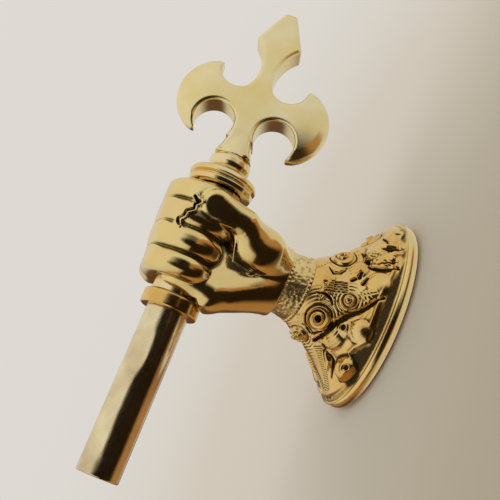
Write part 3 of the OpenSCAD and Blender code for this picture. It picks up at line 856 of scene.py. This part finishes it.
def cut_work(points):
    """Depth of all grooves, slots, engraved lines, hatching and pits, in shares of the groove depth."""
    depth = np.zeros(points.shape[:-1])
    for line, width, share in GROOVES:
        away, run = to_line(points, line)
        width = width * (0.35 + 0.65 * np.sin(np.pi * np.clip(run / run.max(), 0.05, 0.95)))
        depth += share * np.exp(-(away / width) ** 2)
    for line in SLOTS:
        depth += 1.2 * np.exp(-(to_line(points, line)[0] / 0.12) ** 4)
    first, last, count = np.array(STRIPES[0]), np.array(STRIPES[1]), STRIPES[2]
    for share in np.linspace(0, 1, count):
        depth += 0.45 * np.exp(-(to_line(points, first + (last - first) * share)[0] / 0.055) ** 2)
    line, width, gap = HATCH
    away, run = to_line(points, line)
    cuts = np.exp(-(((run / gap) % 1 - 0.5) / 0.2) ** 2)
    depth += 0.5 * cuts * smooth_step(width, width - 0.08, away)
    for place, radius in PITS:
        depth += 1.2 * np.exp(-(polar(points, place)[0] / radius) ** 4)
    return depth


def build_cuff(sizes, material):
    """The flared cuff: a grid round and down the flare, raised by the chasing, with a plain inner wall.

    The band between the border of the chasing and the rim gets a painted dark reflection: it is marked to
    darken like the hollows.
    """
    angle = (np.arange(CUFF_COLS) + 0.5) * 2 * np.pi / CUFF_COLS
    t, turn = np.meshgrid(np.linspace(0, CUFF_END, CUFF_ROWS), angle, indexing="ij")
    side = -np.arccos(np.cos(turn))
    points = cuff_point(side, t, np.zeros_like(t))
    border = np.interp(np.degrees(side), *zip(*BORDER))
    height = raised_work(points, t, border, np.sin(turn) > 0) * (sizes.scroll_height / MM)
    height -= cut_work(points) * (sizes.groove_depth / MM)
    height *= np.clip(np.minimum(8 * t, 14 * (1 - t)), 0, 1)
    # Painted dark reflection on the smooth band between the border of the chasing and the rim
    painted_dark_reflection = 0.8 * smooth_step(border - 0.01, border + 0.03, t) * smooth_step(CUFF_END, 0.99, t)
    t_in, turn_in = np.meshgrid(np.linspace(1, 0, 8), angle, indexing="ij")
    inner = cuff_point(turn_in, t_in, np.full_like(t_in, -CUFF_WALL))
    surface = np.concatenate([cuff_point(turn, t, height), inner])
    # The recess mark holds the hollows, darkened as dirt and painted shade, and the band of painted dark
    # reflection
    deep = np.concatenate([np.maximum(hollows(height), painted_dark_reflection), np.zeros(t_in.shape)])
    # The rows are turned round so that the faces look outwards
    add_hoop("chased_cuff", surface[::-1], material, "hand", "cuff", deep[::-1])


def hollows(height):
    """How far each place lies below its surroundings, from 0 to 1, by repeated averaging."""
    smooth = height.copy()
    for _ in range(30):
        smooth = (np.roll(smooth, 1, 1) + np.roll(smooth, -1, 1) + 2 * smooth) / 4
        padded = np.pad(smooth, ((1, 1), (0, 0)), mode="edge")
        smooth = (padded[:-2] + padded[2:] + 2 * smooth) / 4
    return np.clip((smooth - height) / 0.085, 0, 1)


def build_seal(gold, stone):
    """The rim, an oval hoop with a half-round edge, and the stone, a flat oval with an eased edge."""
    angle = full_turn(SEAL_COLS)
    low = BEZEL_LOW[2]
    high = BEZEL_HIGH[2]
    wall = BEZEL_HALF[0] - STONE_HALF[0] - 2 * SOLDER
    soft = 0.48 * (high - low)
    loop = rounded_loop([(0, low, soft), (0, high, soft), (-wall, high, 0.05), (-wall, low, 0.08)])
    surface = oval_rows(BEZEL_HALF, refined(loop, 0.12), angle)
    add_hoop("seal_rim", surface, gold, "hand", "seal_bezel")
    b = STONE_HALF[1]
    top = STONE_TOP
    rows = np.array([(-b * 0.6, 0), (-b * 0.2, 0), (-0.12, 0), (-0.04, 0.03), (0, 0.12), (0, top),
                     (-0.05, top), (-b * 0.2, top), (-b * 0.6, top)])
    surface = oval_rows(STONE_HALF, rows, angle).reshape(-1, 3)
    surface = np.concatenate([[(0, 0, 0)], surface, [(0, 0, top)]])
    faces = cap_faces(len(rows), SEAL_COLS)
    add_piece("seal_stone_oval", surface, faces, stone, "hand", ("seal_stone",))


# Materials


class Signal:
    """One socket of a node tree. Arithmetic on it adds Math nodes, and node() adds any other node."""

    def __init__(self, tree, socket=None):
        self.tree = tree
        self.socket = socket

    def node(self, kind, settings=None, inputs=None, output=0):
        """Adds a node with its settings set first, then its sockets' values or links."""
        made = self.tree.nodes.new(kind)
        for key, value in (settings or {}).items():
            setattr(made, key, value)
        for key, value in (inputs or {}).items():
            if isinstance(value, Signal):
                self.tree.links.new(value.socket, made.inputs[key])
            else:
                made.inputs[key].default_value = value
        return Signal(self.tree, made.outputs[output] if len(made.outputs) else None)

    def math(self, operation, other):
        """This value and another, or a number, through one Math node."""
        return self.node("ShaderNodeMath", {"operation": operation}, {0: self, 1: other})

    def __add__(self, other):
        return self.math("ADD", other)

    def __sub__(self, other):
        return self.math("SUBTRACT", other)

    def __mul__(self, other):
        return self.math("MULTIPLY", other)

    def __pow__(self, other):
        return self.math("POWER", other)

    __radd__ = __add__
    __rmul__ = __mul__

    def larger(self, other):
        """The larger of this value and another."""
        return self.math("MAXIMUM", other)

    def ease(self, low, high, kind="SMOOTHSTEP", start=0.0, end=1.0):
        """Goes from start to end while this value goes from low to high."""
        return self.node("ShaderNodeMapRange", {"interpolation_type": kind}, {
            "Value": self, "From Min": low, "From Max": high, "To Min": start, "To Max": end})

    def mix(self, a, b):
        """Colour a where this is 0 and b where it is 1."""
        a, b = (colour if isinstance(colour, Signal) else (*colour, 1) for colour in (a, b))
        return self.node("ShaderNodeMix", {"data_type": "RGBA"}, {0: self, 6: a, 7: b}, 2)

    def noise(self, scale, detail, distortion=0.0):
        """Cloudy noise at this place."""
        return self.node("ShaderNodeTexNoise", None, {
            "Vector": self, "Scale": scale, "Detail": detail, "Distortion": distortion})

    def mapped(self, scale, shift=(0, 0, 0)):
        """This place scaled, then shifted."""
        return self.node("ShaderNodeMapping", None, {"Vector": self, "Scale": scale, "Location": shift})

    def axis(self, index):
        """One coordinate of this place."""
        return self.node("ShaderNodeSeparateXYZ", None, {0: self}, index)

    def size(self):
        """Distance of this place from the origin."""
        return self.node("ShaderNodeVectorMath", {"operation": "LENGTH"}, {0: self}, 1)

    def end(self, kind="ShaderNodeOutputMaterial"):
        """Makes this shader the surface of its material or world."""
        self.node(kind, None, {"Surface": self})


def new_material(name):
    """A material without a shader yet, and the place on the piece as the start of its node tree."""
    material = bpy.data.materials.new(name)
    material.use_nodes = True
    material.node_tree.nodes.clear()
    return material, Signal(material.node_tree).node("ShaderNodeTexCoord", None, None, "Object")


def close(colour, roughness, metallic, **inputs):
    """Ends a tree with the surface shader and its output."""
    inputs.update({"Base Color": colour, "Roughness": roughness, "Metallic": metallic})
    colour.node("ShaderNodeBsdfPrincipled", None, inputs).end()


# Finishes of the gold as names of its two tones, roughness, and shares of dirt and painted shade in the
# hollows, scratches and grain
FINISHES = {
    "polished_gold": ("gold", "pale_gold", 0.14, 1.0, 0.6, 0.2),
    "worn_gold": ("worn_gold", "pale_gold", 0.15, 1.0, 0.7, 0.2),
    "collar_gold": ("deep_gold", "gold", 0.16, 1.0, 0.6, 0.2),
    "axe_gold": ("soft_gold", "pale_gold", 0.24, 0.6, 0.1, 0.06),
    "hand_gold": ("gold", "soft_gold", 0.14, 0.75, 0.5, 0.2),
    "matted_gold": ("gold", "soft_gold", 0.3, 0.4, 0.4, 0.3),
    "chased_gold": ("deep_gold", "gold", 0.18, 0.94, 0.5, 0.3),
    "rim_gold": ("gold", "soft_gold", 0.15, 1.0, 0.5, 0.2),
}


def gold_material(name, colours):
    """Gold clouded between two tones, darkened as dirt and painted shade where the recess mark is high, with
    rub marks and fine bumps.
    """
    first, second, polish, dirt_and_shade, scratch, grain = FINISHES[name]
    material, place = new_material(name)
    cloud = place.noise(420.0, 4.0)
    speck = place.noise(2600.0, 3.0)
    rub = place.mapped((0.25, 1.0, 1.3)).noise(5200.0, 2.0)
    deep = place.node("ShaderNodeAttribute", {"attribute_name": "recess"}, None, "Fac")
    metal = cloud.ease(0.35, 0.7, "LINEAR").mix(getattr(colours, first), getattr(colours, second))
    # Painted shade and dirt: the gold darkens towards the near-black colour where the recess mark is high
    soil_and_shade = dirt_and_shade * (deep + 0.35 * (speck - 0.5)).ease(0.3, 0.75, "LINEAR")
    rough = polish + 0.1 * (cloud - 0.5) + scratch * 0.25 * (rub - 0.5) + 0.35 * soil_and_shade
    bump = place.node("ShaderNodeBump", None,
                      {"Strength": 0.35, "Distance": 0.00002, "Height": scratch * rub + grain * speck})
    close(soil_and_shade.mix(metal, colours.dirt_and_shade), rough, 1.0, Normal=bump)
    return material


def stone_material(colours):
    """Polished agate: clouded red brown under a clear polish."""
    material, place = new_material("agate")
    cloud = place.noise(260.0, 5.0, 1.2)
    close(cloud.ease(0.3, 0.75, "LINEAR").mix(colours.stone, colours.stone_light), 0.1 + 0.06 * cloud, 0.0)
    return material


def steel_material(colours):
    """Drawn steel of the core, with dark spots of old rust."""
    material, place = new_material("core_steel")
    line = place.mapped((0.1, 1.0, 1.0)).noise(6000.0, 2.0)
    rust = place.noise(1500.0, 4.0).ease(0.55, 0.7, "LINEAR")
    close(rust.mix(colours.steel, colours.rust), 0.3 + 0.2 * line + 0.3 * rust, 1.0 + -0.8 * rust)
    return material


def filling_material(colours):
    """Dark setter's cement inside the hand, grainy and dull."""
    material, place = new_material("filling_cement")
    grain = place.noise(3000.0, 4.0)
    close(grain.mix(colours.dirt_and_shade, colours.rust), 0.75 + 0.2 * grain, 0.0)
    return material


# Settings


def length(name, description, millimetres, low, high):
    """A length property given in millimetres."""
    return FloatProperty(name=name, description=description, default=millimetres * MM, min=low * MM,
                         max=high * MM, precision=5, unit="LENGTH")


def bearing(name, description, degrees):
    """An angle property given in degrees."""
    return FloatProperty(name=name, description=description, default=math.radians(degrees), subtype="ANGLE")


def tint(name, description, default):
    """A colour property."""
    return FloatVectorProperty(name=name, description=description, default=default, size=3, min=0, max=1,
                               subtype="COLOR")


class KeySizes(bpy.types.PropertyGroup):
    """Sizes of the worked surfaces."""

    grain: length("Mesh step", "Step of the grid that the fist and the axe are skinned on", 0.075, 0.05, 0.2)
    finger_pitch: length("Finger spacing", "Distance between fingers along the shaft", 1.86, 1.75, 2.1)
    finger_thickness: length("Finger thickness", "Thickness of a finger", 1.9, 1.6, 2.2)
    axe_thickness: length("Axe thickness", "Thickness of the axe at its middle", 2.4, 1.8, 3.0)
    axe_edge: length("Axe edge", "Thickness of the axe at the cutting edges", 0.7, 0.4, 1.8)
    axe_round: length("Axe edge rounding", "Radius on the edges of the axe", 0.3, 0.05, 0.4)
    dent: length("Dent depth", "Depth of the deepest dent in the pipe", 0.2, 0.0, 0.25)
    matting: length("Matting depth", "Depth of the punch marks on the wrist band", 0.05, 0.0, 0.12)
    scroll_height: length("Scroll height", "Height of the chased scrolls", 0.3, 0.1, 0.5)
    groove_depth: length("Groove depth", "Depth of the chased grooves", 0.28, 0.06, 0.4)


class KeyColours(bpy.types.PropertyGroup):
    """Colours of the finishes."""

    deep_gold: tint("Deep gold", "Tone of the gold in the chased work", (0.70, 0.44, 0.12))
    gold: tint("Gold", "Tone of the polished gold", (0.80, 0.59, 0.25))
    pale_gold: tint("Pale gold", "Tone of the gold where it is rubbed", (0.86, 0.76, 0.49))
    soft_gold: tint("Soft gold", "Tone of the gold between fresh and rubbed", (0.80, 0.67, 0.31))
    worn_gold: tint("Worn gold", "Tone of the thin gold on the pipe", (0.62, 0.50, 0.31))
    # Dirt and painted shade: the hollows darken towards this colour. The cement and the dark cards use it
    # too
    dirt_and_shade: tint("Dirt", "Old polish and dirt in the recesses", (0.02, 0.012, 0.006))
    steel: tint("Steel", "Core of the pipe", (0.42, 0.41, 0.4))
    rust: tint("Rust", "Spots on the steel", (0.12, 0.06, 0.03))
    stone: tint("Agate", "Deep tone of the seal stone", (0.12, 0.018, 0.01))
    stone_light: tint("Light agate", "Light tone of the seal stone", (0.32, 0.07, 0.03))
    backdrop: tint("Backdrop", "Colour of the backdrop", (0.73, 0.70, 0.65))
    floor: tint("Floor", "Colour of the floor behind the key", (0.62, 0.58, 0.52))
    # Painted shadow on the floor in front of the key
    floor_painted_shadow: tint("Near floor", "Colour of the floor in front of the key", (0.40, 0.36, 0.28))
    # Brown of the front card's painted shade, also the brown side of the room in the polish
    card: tint("Card", "Colour of the card in front of the key", (0.46, 0.26, 0.12))
    shade: tint("Shade", "Colour of the shaded side of the room", (0.13, 0.07, 0.045))


class StageSettings(bpy.types.PropertyGroup):
    """Camera and light."""

    lens: FloatProperty(name="Lens", description="Focal length on a 36 mm sensor", default=60.5, min=20,
                        max=200)
    azimuth: bearing("Azimuth", "Camera's turn about the upright axis", -16.66)
    elevation: bearing("Elevation", "Camera's height above the horizon", 11.51)
    roll: bearing("Roll", "Turn of the picture about the line of sight", 64.42)
    place: FloatVectorProperty(name="Camera place", description="Where the camera stands", size=3,
                               default=(-0.017554, -0.060642, 0.024489), subtype="TRANSLATION",
                               unit="LENGTH")
    overhead: FloatProperty(name="Overhead light", description="Room light overhead against its sides",
                            default=1.15, min=0)
    key: FloatProperty(name="Softbox", description="Power of the large soft lamp, in watts", default=0.07,
                       min=0)
    card_shift: FloatVectorProperty(name="Lens card shift", size=3, default=(2.0, -2.0, -6.0),
                                    description="Middle of the dark card from the lens, in mm")
    card_half: FloatVectorProperty(name="Lens card", size=2, default=(0.058, 0.066), unit="LENGTH",
                                   description="Half width and half height of the dark card")


class WatchKeySettings(bpy.types.PropertyGroup):
    """All settings of the key."""

    sizes: PointerProperty(type=KeySizes)
    colours: PointerProperty(type=KeyColours)
    stage: PointerProperty(type=StageSettings)


# Stage


def camera_axes(stage):
    """Right, up and backward directions of the camera from its three angles."""
    a = stage.azimuth
    e = stage.elevation
    back = Vector((math.sin(a) * math.cos(e), -math.cos(a) * math.cos(e), math.sin(e)))
    level = Vector((0, 0, 1)).cross(back).normalized()
    upright = back.cross(level)
    right = level * math.cos(stage.roll) - upright * math.sin(stage.roll)
    return right, back.cross(right), back


def add_camera(stage):
    """Camera at the photograph's place and turn."""
    data = bpy.data.cameras.new("camera")
    data.lens = stage.lens
    data.clip_start = 0.001
    camera = bpy.data.objects.new("camera", data)
    right, up, back = camera_axes(stage)
    turn = Matrix((right, up, back)).transposed().to_4x4()
    camera.matrix_world = Matrix.Translation(Vector(stage.place)) @ turn
    bpy.context.scene.collection.objects.link(camera)
    bpy.context.scene.camera = camera


# Side of the square lamp and its place, half the side of the floor, and height of the card above it
SOFTBOX_SIDE = 160
SOFTBOX_PLACE = (0, 10, 150)
FLOOR_HALF = 400
CARD_LIFT = 0.05
# The way from the key to the shaded side of the room
SHADED_SIDE = (-0.62, 0.78, 0.0)


def add_softbox(power):
    """Large square lamp overhead that faces the fist and stays out of the polish."""
    data = bpy.data.lights.new("softbox", "AREA")
    data.shape = "RECTANGLE"
    data.size = data.size_y = SOFTBOX_SIDE * MM
    data.energy = power
    lamp = bpy.data.objects.new("softbox", data)
    place = Vector(SOFTBOX_PLACE) * MM
    turn = (place - Vector((0, 0, GRIP)) * MM).to_track_quat("Z", "Y").to_matrix().to_4x4()
    lamp.matrix_world = Matrix.Translation(place) @ turn
    lamp.visible_glossy = False
    bpy.context.scene.collection.objects.link(lamp)


def add_world(stage, colours):
    """Pale room, brighter overhead. Its brown and its shaded side, both low, show in the polish alone."""
    world = bpy.data.worlds.new("room")
    world.use_nodes = True
    world.node_tree.nodes.clear()
    way = Signal(world.node_tree).node("ShaderNodeTexCoord", None, None, "Generated")
    height = way.axis(2)
    facing = way.node("ShaderNodeVectorMath", {"operation": "DOT_PRODUCT"}, {0: way, 1: SHADED_SIDE}, 1)
    glossy = height.ease(0.2, -0.1) * way.node("ShaderNodeLightPath", None, None, "Is Glossy Ray")
    colour = (way.axis(0).ease(-0.35, -0.85) * glossy).mix(colours.backdrop, colours.card)
    colour = (facing.ease(0.4, 0.8) * glossy).mix(colour, colours.shade)
    over = height.ease(0.1, 0.8, start=1.0, end=stage.overhead)
    way.node("ShaderNodeBackground", None, {"Color": colour, "Strength": over}).end("ShaderNodeOutputWorld")
    bpy.context.scene.world = world


def stage_mesh(name, points, material):
    """One flat face that belongs to the stage, from points in millimetres."""
    mesh = bpy.data.meshes.new(name)
    mesh.from_pydata((np.asarray(points) * MM).tolist(), [], [list(range(len(points)))])
    mesh.materials.append(material)
    thing = bpy.data.objects.new(name, mesh)
    bpy.context.scene.collection.objects.link(thing)
    return thing


def add_floor(colours):
    """Pale floor that fades into the room with the distance from the key, with a painted shadow that darkens
    it in front of the key.
    """
    material, place = new_material("floor")
    fade = (place.size() ** -1.0).ease(32.0, 2.7)
    # Painted shadow: the floor is darker in front of the key than behind it
    colour = place.axis(1).ease(-0.025, 0.014).mix(colours.floor_painted_shadow, colours.floor)
    surface = place.node("ShaderNodeBsdfDiffuse", None, {"Color": colour})
    room = place.node("ShaderNodeEmission", None, {"Color": (*colours.backdrop, 1)})
    place.node("ShaderNodeMixShader", None, {0: fade, 1: surface, 2: room}).end()
    half = FLOOR_HALF
    corners = [(-half, -half, 0), (half, -half, 0), (half, half, 0), (-half, half, 0)]
    stage_mesh("floor", corners, material).visible_glossy = False


def add_card(name, points, material, colour, clear_share):
    """A card with a dull colour and clear parts, seen only in the polish."""
    surface = clear_share.node("ShaderNodeBsdfDiffuse", None, {"Color": colour})
    clear = clear_share.node("ShaderNodeBsdfTransparent")
    clear_share.node("ShaderNodeMixShader", None, {0: clear_share, 1: surface, 2: clear}).end()
    card = stage_mesh(name, points, material)
    card.visible_camera = False
    card.visible_diffuse = False
    card.visible_shadow = False


def add_front_card(colours):
    """Brown card on the floor before the key, dark towards the lens, clear beside it and round its foot. It
    is a sheet of painted shade that stands for the shaded floor before the key, seen in the polish.
    """
    material, place = new_material("front_card")
    along = place.axis(0)
    depth = place.axis(1)
    # Painted shade in the polish: dark towards the lens, brown nearer the key
    colour = depth.ease(-0.011, -0.003).larger(along.ease(0.003, 0.009)).mix(colours.dirt_and_shade, colours.card)
    slant = along + depth.ease(-0.011, -0.002, "LINEAR", 0.0, 0.0135)
    beside = slant.ease(0.015, 0.0195).larger(depth.ease(0.006, 0.016))
    foot = 1 / (BEZEL_HALF * MM)
    clear_share = beside.larger(place.mapped((foot[0], foot[1], 0)).size().ease(1.3, 1.12))
    corners = [(x, y, CARD_LIFT) for x, y in ((-400, -260), (40, -260), (40, 30), (-400, 30))]
    add_card("front_card", corners, material, colour, clear_share)


def add_lens_card(stage, colours):
    """Dark oval card round the lens, clear towards its edge."""
    material, place = new_material("lens_card")
    middle = np.array(stage.place) / MM + stage.card_shift
    wide, high = stage.card_half
    place = place.mapped((1 / wide, 0, 1 / high), (-middle[0] * MM / wide, 0, -middle[2] * MM / high))
    turn = full_turn(64)
    points = np.stack([middle[0] + wide / MM * np.cos(turn), np.full(len(turn), middle[1]),
                       middle[2] + high / MM * np.sin(turn)], -1)
    add_card("lens_card", points, material, (*colours.dirt_and_shade, 1), place.size().ease(0.45, 1.0))


# Operators


def dress(node, material):
    """Gives a solid that no surface replaces its material."""
    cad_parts[node].data.materials.clear()
    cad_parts[node].data.materials.append(material)


class WATCHKEY_OT_fist(bpy.types.Operator):
    """Sculpts the fist"""

    bl_idname = "watchkey.fist"
    bl_label = "Fist"

    def execute(self, context):
        key = context.scene.watch_key
        build_fist(key.sizes, gold_material("hand_gold", key.colours))
        return {"FINISHED"}


class WATCHKEY_OT_axe(bpy.types.Operator):
    """Shapes the double axe"""

    bl_idname = "watchkey.axe"
    bl_label = "Axe"

    def execute(self, context):
        key = context.scene.watch_key
        build_axe(key.sizes, gold_material("axe_gold", key.colours))
        return {"FINISHED"}


class WATCHKEY_OT_shaft(bpy.types.Operator):
    """Turns the pipe and its rings and finishes the solids inside"""

    bl_idname = "watchkey.shaft"
    bl_label = "Pipe and rings"

    def execute(self, context):
        key = context.scene.watch_key
        polished = gold_material("polished_gold", key.colours)
        build_pipe(key.sizes, gold_material("worn_gold", key.colours))
        build_collars(polished, gold_material("collar_gold", key.colours))
        for node in ("spindle", "spindle_bush", "wrist_peg", "cuff_plate"):
            dress(node, polished)
        dress("pipe_core", steel_material(key.colours))
        dress("hand_filling", filling_material(key.colours))
        return {"FINISHED"}


class WATCHKEY_OT_wrist(bpy.types.Operator):
    """Makes the matted band, the chased cuff and the seal"""

    bl_idname = "watchkey.wrist"
    bl_label = "Band, cuff and seal"

    def execute(self, context):
        key = context.scene.watch_key
        build_band(key.sizes, gold_material("matted_gold", key.colours))
        build_cuff(key.sizes, gold_material("chased_gold", key.colours))
        build_seal(gold_material("rim_gold", key.colours), stone_material(key.colours))
        return {"FINISHED"}


class WATCHKEY_OT_stage(bpy.types.Operator):
    """Sets up the camera, the floor and the light"""

    bl_idname = "watchkey.stage"
    bl_label = "Stage"

    def execute(self, context):
        key = context.scene.watch_key
        context.scene.view_settings.view_transform = "Standard"
        add_camera(key.stage)
        add_world(key.stage, key.colours)
        add_floor(key.colours)
        add_lens_card(key.stage, key.colours)
        add_front_card(key.colours)
        add_softbox(key.stage.key)
        return {"FINISHED"}


class WATCHKEY_PT_panel(bpy.types.Panel):
    """Builds the key piece by piece"""

    bl_idname = "WATCHKEY_PT_panel"
    bl_label = "Watch key"
    bl_space_type = "VIEW_3D"
    bl_region_type = "UI"
    bl_category = "Watch key"

    def draw(self, context):
        key = context.scene.watch_key
        for group in (key.sizes, key.colours, key.stage):
            for name in group.__annotations__:
                self.layout.prop(group, name)
        for operator in OPERATORS:
            self.layout.operator(operator.bl_idname)


OPERATORS = (WATCHKEY_OT_stage, WATCHKEY_OT_shaft, WATCHKEY_OT_axe, WATCHKEY_OT_fist, WATCHKEY_OT_wrist)
CLASSES = (KeySizes, KeyColours, StageSettings, WatchKeySettings, *OPERATORS, WATCHKEY_PT_panel)


def register():
    for cls in CLASSES:
        bpy.utils.register_class(cls)
    bpy.types.Scene.watch_key = PointerProperty(type=WatchKeySettings)


def unregister():
    del bpy.types.Scene.watch_key
    for cls in reversed(CLASSES):
        bpy.utils.unregister_class(cls)


def main():
    """Builds everything in order."""
    register()
    bpy.ops.watchkey.stage()
    bpy.ops.watchkey.shaft()
    bpy.ops.watchkey.axe()
    bpy.ops.watchkey.fist()
    bpy.ops.watchkey.wrist()


if __name__ == "__main__":
    main()
